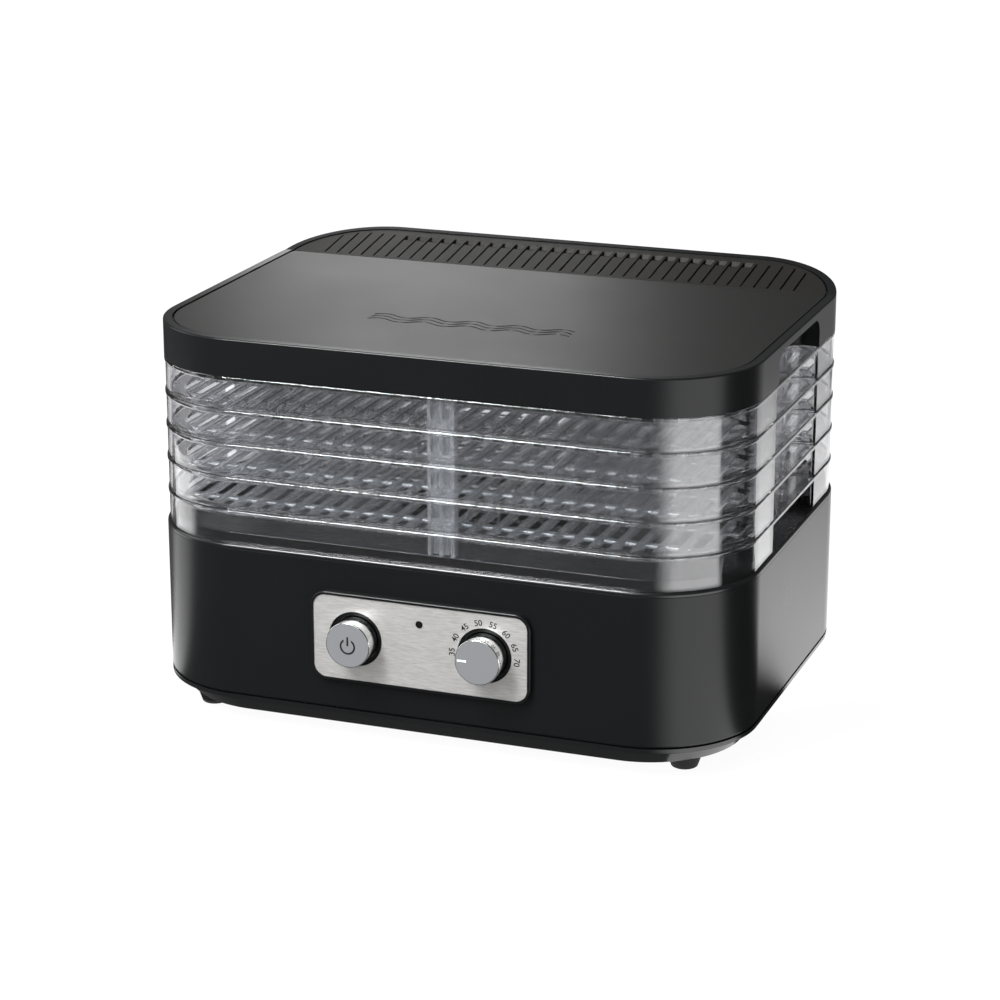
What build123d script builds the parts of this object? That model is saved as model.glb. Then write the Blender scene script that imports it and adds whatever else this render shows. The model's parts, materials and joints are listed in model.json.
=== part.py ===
from build123d import *
from math import cos, radians
import os

os.makedirs("parts", exist_ok=True)

# Food dehydrator: a fan-and-heater base, five stacked clear trays and a vented lid.
# Millimetres. +X is the user's right, -Y the front with the controls, +Z up.
# The pieces are drawn about the middle of the housing, and the last lines move them so that
# the origin is the middle of the footprint, on the surface the feet stand on.

# Outline shared by the trays and the lid
body_w = 335.0
body_d = 255.0
corner_r = 57.0

# Heights, from the surface up
foot_h = 6.5
plinth_h = 12.0
wall_h = 83.5
deck_edge_h = 2.4
tray_pitch = 18.5
tray_count = 5
lid_h = 20.6
rear_rise = 7.5

# Hand pockets in both sides of the trays and the lid
pocket_w = 84.0
pocket_depth = 16.0
pocket_r = 7.0
pocket_arch_r = 9.0

# Trays
tray_step = 0.6
tray_wall = 2.0
tray_fit = 0.5
flange_t = 2.6
flange_w = 8.0
rib_t = 1.5
rib_h = 2.0
floor_border = 2.5
bar_w = 4.6
bar_pitch = 11.3
cross_w = 3.6
cross_pitch = 30.0
smallest_hole = 14.0
key_x = 10.5
key_w = 15.0
key_rib_w = 2.0
key_web_t = 1.6

# Lid
lid_wall = 2.4
lid_deck_t = 2.0
rim_w = 5.0
groove_w = 1.0
panel_t = 2.2
panel_drop = 0.3
crease_back = 50.5
seat_w = 5.0
slot_pitch = 7.69
slot_w = 1.2
slot_start = 2.6
slot_side = 20.0
slot_end_inset = 13.1
slot_border = 2.5
plain_slots = 5
window_w = 5.4
window_l = 7.0

# Base shells
base_proud = 0.85
base_wall = 2.5
plate_edge_h = 2.5
plate_edge_step = 1.8
plinth_inset = 9.0
plinth_wall = 2.2
collar_h = 5.8
collar_t = 2.5
lip_fit = 0.3
lip_t = 2.0
lip_h = 5.0
post_inset = 49.5
post_r = 5.5
foot_margin = 2.0
foot_top_r = 9.2
foot_low_r = 7.0
foot_stem_r = 3.0
foot_stem_top = 1.5
intake_slot_l = 40.0
intake_slot_w = 4.0
intake_pitch = 9.0
intake_count = 11

# Screws, all of one kind
screw_r = 1.5
screw_head_r = 3.2
screw_head_h = 2.0
screw_l = 10.0
screw_fit = 0.1

# Control panel, centred on the front wall
panel_w = 121.0
panel_h = 46.5
panel_r = 7.0
panel_z = 42.0
bezel_border = 1.7
bezel_proud = 3.0
bezel_back = 4.0
bezel_overlap = 3.5
bezel_fit = 0.3
plate_t = 1.0
plate_drop = 0.4
boss_r = 3.2
boss_l = 10.0
boss_inset = 8.0
control_x = 36.6
ring_gap = 2.45
knob_fit = 0.45
button_r = 12.75
button_reach = 10.6
button_wall = 1.8
button_flange_w = 1.85
button_flange_t = 1.5
button_travel = 3.0
stem_r = 2.5
stem_fit = 0.4
boss_floor_t = 1.0
dial_r = 12.5
dial_reach = 11.2
dial_back = 2.0
shaft_r = 3.0
shaft_grip = 6.0
mark_edge = 0.8
mark_l = 5.0
mark_w = 1.0
mark_t = 0.4
knob_chamfer = 0.7
lens_r = 2.0
lens_z = 12.7
lens_proud = 0.2
lens_fit = 0.1
lamp_r = 1.5
lamp_base_t = 2.0
lamp_base_w = 1.0
bracket_t = 1.2
bracket_r = 3.0
screw_tip = 1.5
shaft_fit = 0.05
hole_fit = 0.6
switch_w = 20.0
switch_h = 15.0
switch_l = 18.0
thermostat_w = 30.0
thermostat_h = 26.0
thermostat_l = 20.0
thermostat_r = 3.0
thermostat_bore = 12.0
well_spare = 1.0
tag_t = 0.8
tag_w = 4.8
tag_l = 6.0

# Mains inlet in the rear wall
inlet_x = -85.0
inlet_z = 24.0
inlet_w = 27.0
inlet_h = 19.5
inlet_r = 3.0
inlet_flange = 2.5
inlet_flange_t = 1.2
inlet_l = 24.0
inlet_wall = 1.8
socket_depth = 17.0
pin_l = 11.0
pin_w = 2.0
pin_h = 4.0
pin_gap = 7.0
pin_fit = 0.05
earth_pin_z = 2.4
line_pin_z = -1.6
socket_r = 2.0

# Fan, heater and their brackets
outlet_r = 62.0
outlet_fit = 0.3
grille_t = 2.0
grille_lip = 5.0
spoke_count = 24
spoke_w = 1.8
vane_hub_r = 18.0
vane_rings = (9.0, 25.0)
vane_ring_w = 2.0
grille_border = 2.5
heater_inset = 3.0
heater_ring_t = 1.5
heater_h = 16.0
mica_t = 1.5
mica_h = 12.0
coil_wire_r = 1.3
coil_rings = (28.0, 39.0, 50.0)
coil_fit = 0.05
fan_drop = 10.0
fan_inset = 9.0
fan_hub_r = 14.0
fan_hub_h = 12.0
fan_hub_edge = 2.5
hub_cap_t = 2.0
blade_count = 5
blade_chord = 30.0
blade_t = 1.8
blade_angle = 28.0
motor_r = 24.0
motor_h = 24.0
motor_boss_r = 7.0
motor_boss_h = 3.0
motor_edge = 2.0
motor_bore_floor = 3.0
spindle_end_gap = 1.0
motor_screw_x = 16.8
fan_gap = 2.0
spindle_r = 2.0
bracket_span = 130.0
bracket_w = 18.0
motor_plate_t = 2.0
bracket_foot = 14.0
fuse_r = 2.0
fuse_l = 14.0
block_w = 34.0
block_d = 18.0
block_h = 14.0
block_x = -85.0
block_y = 60.0
block_ways = 3
block_way_pitch = 10.0
block_bore_r = 2.0
block_bore_z = 6.3
block_screw_r = 2.2
block_screw_z = 10.5

# Levels and planes that follow from the sizes above
wall_z = foot_h + plinth_h
deck_z = wall_z + wall_h
stack_z = deck_z + deck_edge_h
lid_z = stack_z + tray_count * tray_pitch
rim_z = lid_z + lid_h
floor_z = foot_h + plinth_wall
crease_y = body_d / 2 - crease_back
roof_slope = rear_rise / crease_back
rib_inset = max(tray_step + tray_wall, lid_wall) + tray_fit
pocket_rise = lid_h - panel_t - lid_deck_t
slot_count = 2 * round((body_w / 2 - slot_side) / slot_pitch)
window_count = slot_count - 2 * plain_slots
key_inset = tray_step + flange_w
wall_y = -(body_d / 2 + base_proud)
rear_y = -wall_y
plate_y = wall_y - bezel_proud + plate_drop
ring_r = max(button_r, dial_r) + ring_gap
button_flange_r = button_r + button_flange_w
bracket_y = wall_y + bezel_back + boss_l
switch_y = bracket_y + bracket_t
control_z = wall_z + panel_z
post_x = body_w / 2 - post_inset
post_y = body_d / 2 - post_inset
foot_reach = (corner_r - plinth_inset - foot_top_r - foot_margin) * cos(radians(45))
foot_x = body_w / 2 - corner_r + foot_reach
foot_y = body_d / 2 - corner_r + foot_reach
heater_r = outlet_r - heater_inset
heater_z = deck_z - grille_t - heater_h
fan_r = heater_r - fan_inset
fan_z = heater_z - fan_drop - fan_hub_h
motor_z = fan_z - fan_gap - motor_boss_h - motor_h
past = 20.0  # how far a cutter runs past what it cuts


def prism(plan, low, high):
    """A plan drawn on XY, raised from one level to another."""
    return extrude(Pos(0, 0, low) * plan, amount=high - low)


def block(x, y, z):
    """A box between the two ends given for each axis."""
    size = (x[1] - x[0], y[1] - y[0], z[1] - z[0])
    middle = (sum(x) / 2, sum(y) / 2, sum(z) / 2)
    return Pos(*middle) * Box(*size)


def rod_z(x, y, radius, low, high):
    return Pos(x, y, (low + high) / 2) * Cylinder(radius, high - low)


def rod_y(x, z, radius, front, back):
    return Pos(x, (front + back) / 2, z) * Rot(90, 0, 0) * Cylinder(radius, back - front)


def slab_y(x, z, width, height, radius, front, back):
    """A rounded panel standing on edge, between two depths."""
    face = Plane.XZ.offset(-front) * Pos(x, z) * RectangleRounded(width, height, radius)
    return extrude(face, amount=front - back)


def corners(x, y):
    return [(sx * x, sy * y) for sx in (-1, 1) for sy in (-1, 1)]


def outline(inset):
    """The body's plan, drawn in by an inset all round."""
    return RectangleRounded(body_w - 2 * inset, body_d - 2 * inset, corner_r - inset)


def pockets(grow):
    """Plan of the two hand pockets, with a margin all round."""
    width = pocket_depth + grow + past
    side = RectangleRounded(width, pocket_w + 2 * grow, pocket_r + grow)
    centre = body_w / 2 + past - width / 2
    return Pos(centre, 0) * side + Pos(-centre, 0) * side


def wall_outline(inset):
    """The body's plan less the hand pockets."""
    return outline(inset) - pockets(inset)


def ring(inset, thickness):
    return wall_outline(inset) - wall_outline(inset + thickness)


# Trays

def key_leg():
    """Three ribs and a web that hang behind the front wall and stand on the tray below."""
    front = -body_d / 2 + tray_step + tray_wall
    back = -body_d / 2 + key_inset
    height = (collar_h, tray_pitch - flange_t)
    leg = block((key_x - key_w / 2, key_x + key_w / 2), (back - key_web_t, back), height)
    for place in (-1, 0, 1):
        middle = key_x + place * (key_w - key_rib_w) / 2
        leg += block((middle - key_rib_w / 2, middle + key_rib_w / 2), (front, back), height)
    return leg


def key_pad():
    """The block on a tray's rim that the leg above stands on."""
    front = -body_d / 2 + rib_inset
    back = -body_d / 2 + key_inset
    return block((key_x - key_w / 2, key_x + key_w / 2), (front, back), (tray_pitch, tray_pitch + collar_h))


def tray_skirt():
    """Hanging wall with a key leg behind its front and one behind its rear."""
    wall = prism(ring(tray_step, tray_wall), 0, tray_pitch - flange_t)
    return wall + key_leg() + mirror(key_leg(), Plane.XZ)


def tray_rim():
    """Top flange with the locating rib, and a key pad at the front and the rear."""
    flange = prism(outline(0) - wall_outline(key_inset), tray_pitch - flange_t, tray_pitch)
    rib = prism(ring(rib_inset, rib_t), tray_pitch, tray_pitch + rib_h)
    return flange + rib + key_pad() + mirror(key_pad(), Plane.XZ)


def tray_floor():
    """Flat grille of long bars and cross-bars, filling the flange."""
    plan = wall_outline(key_inset)
    columns = 2 * int(body_w / bar_pitch / 2) + 1
    rows = 2 * int(body_d / cross_pitch / 2) + 2
    cells = GridLocations(bar_pitch, cross_pitch, columns, rows)
    holes = cells * Rectangle(bar_pitch - bar_w, cross_pitch - cross_w)
    holes = Sketch() + holes & wall_outline(key_inset + floor_border)
    holes = Sketch() + [hole for hole in holes.faces() if hole.area > smallest_hole]
    return prism(plan - holes, tray_pitch - flange_t, tray_pitch)


# Lid

def under_roof(drop):
    """Everything below the lid's top surface lowered by a drop: level, then rising behind the crease."""
    reach = body_d
    level = rim_z - drop
    profile = Polyline(
        (-reach, lid_z - past),
        (-reach, level),
        (crease_y, level),
        (reach, level + roof_slope * (reach - crease_y)),
        (reach, lid_z - past),
        close=True,
    )
    return extrude(Plane.YZ * make_face(profile), amount=body_w, both=True)


def lid_pockets(grow):
    """The hand pockets' arched tops."""
    top = lid_z + pocket_rise + grow
    height = pocket_rise + grow + past
    arch = RectangleRounded(pocket_w + 2 * grow, height, pocket_arch_r + grow)
    arch = extrude(Plane.YZ * Pos(0, top - height / 2) * arch, amount=body_w, both=True)
    return prism(pockets(grow), lid_z - past, top) & arch


def lid_shell():
    """Side wall with arched openings, and the rim round the recess for the top panels."""
    high = rim_z + rear_rise + past
    shell = prism(outline(0), lid_z, high) & under_roof(0)
    shell -= prism(outline(rim_w), rim_z - panel_t, high) - under_roof(panel_t)
    shell -= prism(outline(lid_wall), lid_z, high) & under_roof(panel_t)
    return shell - lid_pockets(0)


def lid_liners():
    """The two cups behind the arched openings, which close the hand pockets off from the inside."""
    inside = prism(outline(lid_wall), lid_z, rim_z) & under_roof(panel_t)
    return (inside & lid_pockets(lid_wall)) - lid_pockets(0)


def lid_deck():
    """Sheet that carries the top panels, open under the vent grille."""
    high = rim_z + rear_rise + past
    sheet = under_roof(panel_t) - under_roof(panel_t + lid_deck_t)
    deck = (prism(outline(lid_wall), lid_z, high) & sheet) - lid_pockets(lid_wall)
    vent = prism(outline(rim_w + seat_w), lid_z, high)
    return deck - (vent & block((-body_w, body_w), (crease_y + seat_w, body_d), (lid_z, high)))


def top_skin():
    """The inlaid sheet that fills the recess in the lid, groove excepted."""
    sheet = prism(outline(rim_w + groove_w), rim_z - panel_t, rim_z + rear_rise + past)
    return sheet & under_roof(panel_drop) - under_roof(panel_t)


def lid_panel():
    high = rim_z + rear_rise + past
    return top_skin() & block((-body_w, body_w), (-body_d, crease_y), (lid_z, high))


def vent_slots():
    """Plan of the narrow slots and of the small windows at their rear ends."""
    start = crease_y + slot_start
    stop = body_d / 2 - slot_end_inset
    slots = Sketch()
    for number in range(slot_count):
        x = slot_pitch * (number - (slot_count - 1) / 2)
        slots += Pos(x, (start + stop) / 2) * Rectangle(slot_w, stop - start)
    slots &= outline(rim_w + groove_w + slot_border)
    for number in range(window_count):
        x = slot_pitch * (number - (window_count - 1) / 2) + window_w / 2
        slots += Pos(x, stop - window_l / 2) * Rectangle(window_w, window_l)
    return slots


def vent_grille():
    high = rim_z + rear_rise + past
    grille = top_skin() & block((-body_w, body_w), (crease_y, body_d), (lid_z, high))
    return grille - prism(vent_slots(), lid_z, high)


# Base shells

def screws(places, seat, direction):
    """Pan-head screws along Z: the head is on the side that direction points away from."""
    group = []
    for x, y in places:
        shank = sorted((seat, seat + direction * screw_l))
        head = sorted((seat, seat - direction * screw_head_h))
        group.append(rod_z(x, y, screw_r, *shank) + rod_z(x, y, screw_head_r, *head))
    return group


def base_housing():
    """The wall between the deck and the bottom plate, cut for the controls and the inlet."""
    wall = prism(outline(-base_proud) - outline(base_wall - base_proud), wall_z, deck_z)
    width = panel_w + 2 * (bezel_border - bezel_overlap)
    height = panel_h + 2 * (bezel_border - bezel_overlap)
    wall -= slab_y(0, control_z, width, height, panel_r - bezel_overlap / 2, wall_y - past, wall_y + past)
    return wall - slab_y(inlet_x, wall_z + inlet_z, inlet_w, inlet_h, inlet_r, rear_y - past, rear_y + past)


def base_deck():
    """Top of the base: the ledge, the lip that fits inside the wall and the air outlet."""
    deck = prism(outline(-base_proud), deck_z, stack_z)
    lip = base_wall - base_proud + lip_fit
    deck += prism(outline(lip) - outline(lip + lip_t), deck_z - lip_h, deck_z)
    return deck - rod_z(0, 0, outlet_r, deck_z - past, stack_z + past)


def tray_collar():
    """Upright band on the ledge that the lowest tray's wall fits round."""
    return prism(ring(rib_inset, collar_t), stack_z, stack_z + collar_h)


def deck_posts():
    """Four screw posts between the deck and the bottom plate."""
    return [
        rod_z(x, y, post_r, floor_z, deck_z) - rod_z(x, y, screw_r + screw_fit, floor_z, floor_z + screw_l)
        for x, y in corners(post_x, post_y)
    ]


def outlet_grille():
    """Round grille that drops the warm air into the lowest tray."""
    disc = rod_z(0, 0, outlet_r - outlet_fit, deck_z, stack_z)
    disc += rod_z(0, 0, outlet_r + grille_lip, deck_z - grille_t, deck_z)
    reach = outlet_r - outlet_fit - grille_border
    openings = Circle(reach) - Circle(vane_hub_r)
    for gap in vane_rings:
        inner = vane_hub_r + gap
        openings -= Circle(inner + vane_ring_w) - Circle(inner)
    spokes = PolarLocations(0, spoke_count) * (Pos(reach / 2, 0) * Rectangle(reach, spoke_w))
    openings -= Sketch() + spokes
    return disc - prism(openings, deck_z - past, stack_z + past)


def bottom_plate():
    """Edge that shows under the wall, tapering plinth, intake slots and screw holes."""
    edge_z = wall_z - plate_edge_h
    plate = prism(outline(-base_proud), edge_z, wall_z)
    top, low = outline(plate_edge_step), outline(plinth_inset)
    plate += loft([Pos(0, 0, edge_z) * top, Pos(0, 0, foot_h) * low])
    hollow_top = outline(plate_edge_step + plinth_wall)
    hollow_low = outline(plinth_inset + plinth_wall)
    plate -= loft([Pos(0, 0, edge_z) * hollow_top, Pos(0, 0, floor_z) * hollow_low])
    plate -= prism(hollow_top, edge_z, wall_z)
    slot = RectangleRounded(intake_slot_w, intake_slot_l, intake_slot_w / 2.1)
    slots = GridLocations(intake_pitch, intake_slot_l + intake_pitch, intake_count, 2) * slot
    plate -= prism(Sketch() + slots, 0, floor_z + past)
    for x, y in corners(post_x, post_y):
        plate -= rod_z(x, y, screw_r + screw_fit, 0, wall_z)
    for x, y in corners(foot_x, foot_y):
        plate -= rod_z(x, y, foot_stem_r + screw_fit, 0, floor_z + past)
    return plate


def foot(x, y):
    """Rubber foot with a stem that pushes through the bottom plate."""
    cone = Pos(x, y, foot_h / 2) * Cone(foot_low_r, foot_top_r, foot_h)
    return cone + rod_z(x, y, foot_stem_r, foot_h, floor_z + foot_stem_top)


# Controls

def control_bezel():
    """Black frame on the wall, its tray for the metal plate, and the bosses behind."""
    width = panel_w + 2 * bezel_border
    height = panel_h + 2 * bezel_border
    bezel = slab_y(0, control_z, width, height, panel_r + bezel_border, wall_y - bezel_proud, wall_y)
    inner = 2 * (bezel_overlap + bezel_fit)
    bezel += slab_y(0, control_z, width - inner, height - inner, panel_r - bezel_overlap / 2,
                    wall_y, wall_y + bezel_back)
    bezel -= slab_y(0, control_z, panel_w, panel_h, panel_r, wall_y - past, plate_y + plate_t)
    bezel -= rod_y(-control_x, control_z, button_r + knob_fit, wall_y - past, wall_y + past)
    bezel -= rod_y(control_x, control_z, dial_r + knob_fit, wall_y - past, wall_y + past)
    bezel -= rod_y(0, control_z + lens_z, lens_r + lens_fit, wall_y - past, wall_y + past)
    for x, z in boss_places():
        bezel += rod_y(x, z, boss_r, wall_y + bezel_back, bracket_y)
        bezel -= rod_y(x, z, screw_r + screw_fit, bracket_y - boss_l + boss_floor_t, bracket_y)
    return bezel


def boss_places():
    x = panel_w / 2 - boss_inset
    z = panel_h / 2 - boss_inset
    return [(dx, control_z + dz) for dx, dz in corners(x, z)] + [(0, control_z - z)]


def control_plate():
    """Brushed metal plate with a hole for each control and one for the lamp."""
    plate = slab_y(0, control_z, panel_w, panel_h, panel_r, plate_y, plate_y + plate_t)
    for side in (-1, 1):
        plate -= rod_y(side * control_x, control_z, ring_r, wall_y - past, wall_y + past)
    return plate - rod_y(0, control_z + lens_z, lens_r + lens_fit, wall_y - past, wall_y + past)


def indicator_lens():
    lens = rod_y(0, control_z + lens_z, lens_r, plate_y - lens_proud, wall_y + bezel_back)
    return fillet(lens.edges().filter_by(GeomType.CIRCLE).sort_by(Axis.Y)[0], lens_proud * 0.9)


def indicator_lamp():
    """Small lamp behind the lens, held in the bracket."""
    lamp = rod_y(0, control_z + lens_z, lamp_r, wall_y + bezel_back + lens_fit, switch_y)
    return lamp + rod_y(0, control_z + lens_z, lamp_r + lamp_base_w, switch_y, switch_y + lamp_base_t)


def power_button():
    """Hollow push button with a stop flange behind the bezel and a stem for the switch."""
    face = plate_y - button_reach
    stop = wall_y + bezel_back
    cap = rod_y(-control_x, control_z, button_r, face, stop + button_flange_t)
    cap = chamfer(cap.edges().filter_by(GeomType.CIRCLE).sort_by(Axis.Y)[0], knob_chamfer)
    cap += rod_y(-control_x, control_z, button_flange_r, stop, stop + button_flange_t)
    cap -= rod_y(-control_x, control_z, button_r - button_wall, face + button_wall, stop + past)
    return cap + rod_y(-control_x, control_z, stem_r, face + button_wall, switch_y + button_travel)


def tags(x, pitch, y):
    """A pair of flat terminals behind a control."""
    pair = []
    for side in (-1, 1):
        middle = x + side * pitch / 2
        z = (control_z - tag_w / 2, control_z + tag_w / 2)
        pair.append(block((middle - tag_t / 2, middle + tag_t / 2), (y, y + tag_l), z))
    return pair


def power_switch():
    """Push switch behind the bracket, with a well for the button's stem."""
    y = (switch_y, switch_y + switch_l)
    x = (-control_x - switch_w / 2, -control_x + switch_w / 2)
    z = (control_z - switch_h / 2, control_z + switch_h / 2)
    depth = 2 * button_travel + well_spare
    well = rod_y(-control_x, control_z, stem_r + stem_fit, switch_y - past, switch_y + depth)
    return block(x, y, z) - well + tags(-control_x, switch_w / 2, y[1])


def temperature_dial():
    face = plate_y - dial_reach
    knob = rod_y(control_x, control_z, dial_r, face, wall_y + dial_back)
    knob = chamfer(knob.edges().filter_by(GeomType.CIRCLE).sort_by(Axis.Y)[0], knob_chamfer)
    knob -= rod_y(control_x, control_z, shaft_r, wall_y + dial_back - shaft_grip, wall_y + past)
    return knob - dial_mark()


def dial_mark():
    """The painted line on the dial's face that points at the scale."""
    face = plate_y - dial_reach
    left = control_x - dial_r + knob_chamfer + mark_edge
    z = (control_z - mark_w / 2, control_z + mark_w / 2)
    return block((left, left + mark_l), (face, face + mark_t), z)


def dial_shaft():
    return rod_y(control_x, control_z, shaft_r, wall_y + dial_back - shaft_grip, switch_y + thermostat_bore)


def thermostat():
    """Rotary thermostat: a box with a bore in which the dial's shaft turns."""
    y = (switch_y, switch_y + thermostat_l)
    x = (control_x - thermostat_w / 2, control_x + thermostat_w / 2)
    z = (control_z - thermostat_h / 2, control_z + thermostat_h / 2)
    depth = thermostat_bore + well_spare
    bore = rod_y(control_x, control_z, shaft_r + shaft_fit, switch_y - past, switch_y + depth)
    body = fillet(block(x, y, z).edges().filter_by(Axis.Y), thermostat_r) - bore
    return body + tags(control_x, thermostat_w / 2, y[1])


def control_bracket():
    """Steel plate across the bosses that carries the switch and the thermostat."""
    width = panel_w - boss_inset
    height = panel_h - boss_inset
    plate = slab_y(0, control_z, width, height, bracket_r, bracket_y, switch_y)
    plate -= rod_y(-control_x, control_z, stem_r + hole_fit, wall_y, bracket_y + past)
    plate -= rod_y(control_x, control_z, shaft_r + hole_fit, wall_y, bracket_y + past)
    plate -= rod_y(0, control_z + lens_z, lamp_r + lens_fit, wall_y, bracket_y + past)
    for x, z in boss_places():
        plate -= rod_y(x, z, screw_r + screw_fit, wall_y, bracket_y + past)
    return plate


def bracket_screws():
    front = switch_y - boss_l + screw_tip
    return [
        rod_y(x, z, screw_r, front, switch_y) + rod_y(x, z, screw_head_r, switch_y, switch_y + screw_head_h)
        for x, z in boss_places()
    ]


# Mains inlet

def mains_inlet():
    """Snap-in appliance inlet, open to the rear."""
    z = wall_z + inlet_z
    flange = 2 * inlet_flange
    body = slab_y(inlet_x, z, inlet_w + flange, inlet_h + flange, inlet_r + inlet_flange,
                  rear_y, rear_y + inlet_flange_t)
    body += slab_y(inlet_x, z, inlet_w - 2 * bezel_fit, inlet_h - 2 * bezel_fit, inlet_r,
                   rear_y + inlet_flange_t - inlet_l, rear_y)
    hollow = 2 * (inlet_wall + bezel_fit)
    mouth = rear_y + inlet_flange_t
    body -= slab_y(inlet_x, z, inlet_w - hollow, inlet_h - hollow, socket_r, mouth - socket_depth, mouth)
    for x, dz in pin_places():
        body -= pin_bar(x, z + dz, pin_fit)
    return body


def pin_places():
    return [(inlet_x - pin_gap, line_pin_z), (inlet_x, earth_pin_z), (inlet_x + pin_gap, line_pin_z)]


def pin_bar(x, z, fit):
    """A flat contact pin that runs from the socket through the inlet's back wall."""
    half_w = pin_w / 2 + fit
    half_h = pin_h / 2 + fit
    mouth = rear_y + inlet_flange_t
    y = (mouth - inlet_l - tag_l, mouth - socket_depth + pin_l)
    return block((x - half_w, x + half_w), y, (z - half_h, z + half_h))


def inlet_pins():
    return [pin_bar(x, wall_z + inlet_z + dz, 0) for x, dz in pin_places()]


# Fan and heater

def motor_bracket():
    """Bridge that carries the motor above the intake slots."""
    half = bracket_span / 2
    y = (-bracket_w / 2, bracket_w / 2)
    top = motor_z - motor_plate_t
    bridge = block((-half, half), y, (top, motor_z))
    for side in (-1, 1):
        leg = sorted((side * half, side * (half - motor_plate_t)))
        pad = sorted((side * half, side * (half + bracket_foot)))
        bridge += block(leg, y, (floor_z, motor_z))
        bridge += block(pad, y, (floor_z, floor_z + motor_plate_t))
    for x, y in motor_screw_places():
        bridge -= rod_z(x, y, screw_r + screw_fit, 0, motor_z + past)
    return bridge


def motor_screw_places():
    return [(-motor_screw_x, 0), (motor_screw_x, 0)]


def motor_screws():
    return screws(motor_screw_places(), motor_z - motor_plate_t, 1)


def fan_motor():
    """Motor can with a bearing boss, bored for the spindle."""
    motor = rod_z(0, 0, motor_r, motor_z, motor_z + motor_h)
    motor = fillet(motor.edges().filter_by(GeomType.CIRCLE).sort_by(Axis.Z)[-1], motor_edge)
    motor += rod_z(0, 0, motor_boss_r, motor_z + motor_h, motor_z + motor_h + motor_boss_h)
    motor -= rod_z(0, 0, spindle_r + shaft_fit, motor_z + motor_bore_floor, fan_z)
    for x, y in motor_screw_places():
        motor -= rod_z(x, y, screw_r + screw_fit, motor_z - past, motor_z + screw_l)
    return motor


def fan_shaft():
    low = motor_z + motor_bore_floor + spindle_end_gap
    return rod_z(0, 0, spindle_r, low, fan_z + fan_hub_h - hub_cap_t)


def fan_rotor():
    """Hub with pitched blades."""
    hub = rod_z(0, 0, fan_hub_r, fan_z, fan_z + fan_hub_h)
    hub = fillet(hub.edges().filter_by(GeomType.CIRCLE).sort_by(Axis.Z)[-1], fan_hub_edge)
    middle = fan_z + fan_hub_h / 2
    span = fan_r - fan_hub_r / 2
    blade = Rot(blade_angle, 0, 0) * Box(span, blade_chord, blade_t)
    blade = Pos(fan_hub_r / 2 + span / 2, 0, middle) * blade
    blade &= rod_z(0, 0, fan_r, middle - blade_chord, middle + blade_chord)
    for place in PolarLocations(0, blade_count):
        hub += place * blade
    return hub - rod_z(0, 0, spindle_r, fan_z - past, fan_z + fan_hub_h - hub_cap_t)


def coil(fit):
    """Rings of heating wire held in the mica cross."""
    level = Pos(0, 0, heater_z + heater_h / 2)
    return [level * Torus(radius, coil_wire_r + fit) for radius in coil_rings]


def heater_frame():
    """Sheet ring under the outlet with a cross of mica strips."""
    top = heater_z + heater_h
    frame = rod_z(0, 0, heater_r + heater_ring_t, heater_z, top)
    frame -= rod_z(0, 0, heater_r, heater_z - past, top + past)
    for turn in (0, 60, 120):
        strip = Box(2 * heater_r + heater_ring_t, mica_t, mica_h)
        frame += Pos(0, 0, heater_z + heater_h / 2) * Rot(0, 0, turn) * strip
    for wire in coil(coil_fit):
        frame -= wire
    return frame


def thermal_fuse():
    """Cut-out on the outside of the heater's ring."""
    y = heater_r + heater_ring_t + fuse_r + coil_fit
    return Pos(0, y, heater_z + heater_h / 2) * Rot(0, 90, 0) * Cylinder(fuse_r, fuse_l)


def terminal_block():
    z = (floor_z, floor_z + block_h)
    x = (block_x - block_w / 2, block_x + block_w / 2)
    y = (block_y - block_d / 2, block_y + block_d / 2)
    body = block(x, y, z)
    for number in range(block_ways):
        middle = block_x + (number - (block_ways - 1) / 2) * block_way_pitch
        body -= rod_y(middle, floor_z + block_bore_z, block_bore_r, y[0] - past, y[1] + past)
        body -= rod_z(middle, block_y, block_screw_r, floor_z + block_screw_z, z[1] + past)
    return body


# Every piece by its node name

pieces = {
    "base_housing": base_housing(),
    "base_deck": base_deck(),
    "tray_collar": tray_collar(),
    "deck_posts": deck_posts(),
    "outlet_grille": outlet_grille(),
    "bottom_plate": bottom_plate(),
    "base_screws": screws(corners(post_x, post_y), foot_h, 1),
    "foot_front_left": foot(-foot_x, -foot_y),
    "foot_front_right": foot(foot_x, -foot_y),
    "foot_rear_left": foot(-foot_x, foot_y),
    "foot_rear_right": foot(foot_x, foot_y),
    "control_bezel": control_bezel(),
    "control_plate": control_plate(),
    "control_bracket": control_bracket(),
    "bracket_screws": bracket_screws(),
    "indicator_lens": indicator_lens(),
    "indicator_lamp": indicator_lamp(),
    "power_button": power_button(),
    "power_switch": power_switch(),
    "temperature_dial": temperature_dial(),
    "dial_mark": dial_mark(),
    "dial_shaft": dial_shaft(),
    "thermostat": thermostat(),
    "mains_inlet": mains_inlet(),
    "inlet_pins": inlet_pins(),
    "terminal_block": terminal_block(),
    "motor_bracket": motor_bracket(),
    "motor_screws": motor_screws(),
    "fan_motor": fan_motor(),
    "fan_shaft": fan_shaft(),
    "fan_rotor": fan_rotor(),
    "heater_frame": heater_frame(),
    "heater_coil": coil(0),
    "thermal_fuse": thermal_fuse(),
    "lid_shell": lid_shell(),
    "lid_liners": lid_liners(),
    "lid_deck": lid_deck(),
    "lid_panel": lid_panel(),
    "vent_grille": vent_grille(),
}

skirt = tray_skirt()
rim = tray_rim()
grid = tray_floor()
for number in range(tray_count):
    level = Pos(0, 0, stack_z + number * tray_pitch)
    pieces[f"tray_{number + 1}_skirt"] = level * skirt
    pieces[f"tray_{number + 1}_rim"] = level * rim
    pieces[f"tray_{number + 1}_floor"] = level * grid

front_reach = bezel_proud - plate_drop + max(button_reach, dial_reach)
to_origin = Pos(0, (front_reach - inlet_flange_t) / 2, 0)

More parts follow.
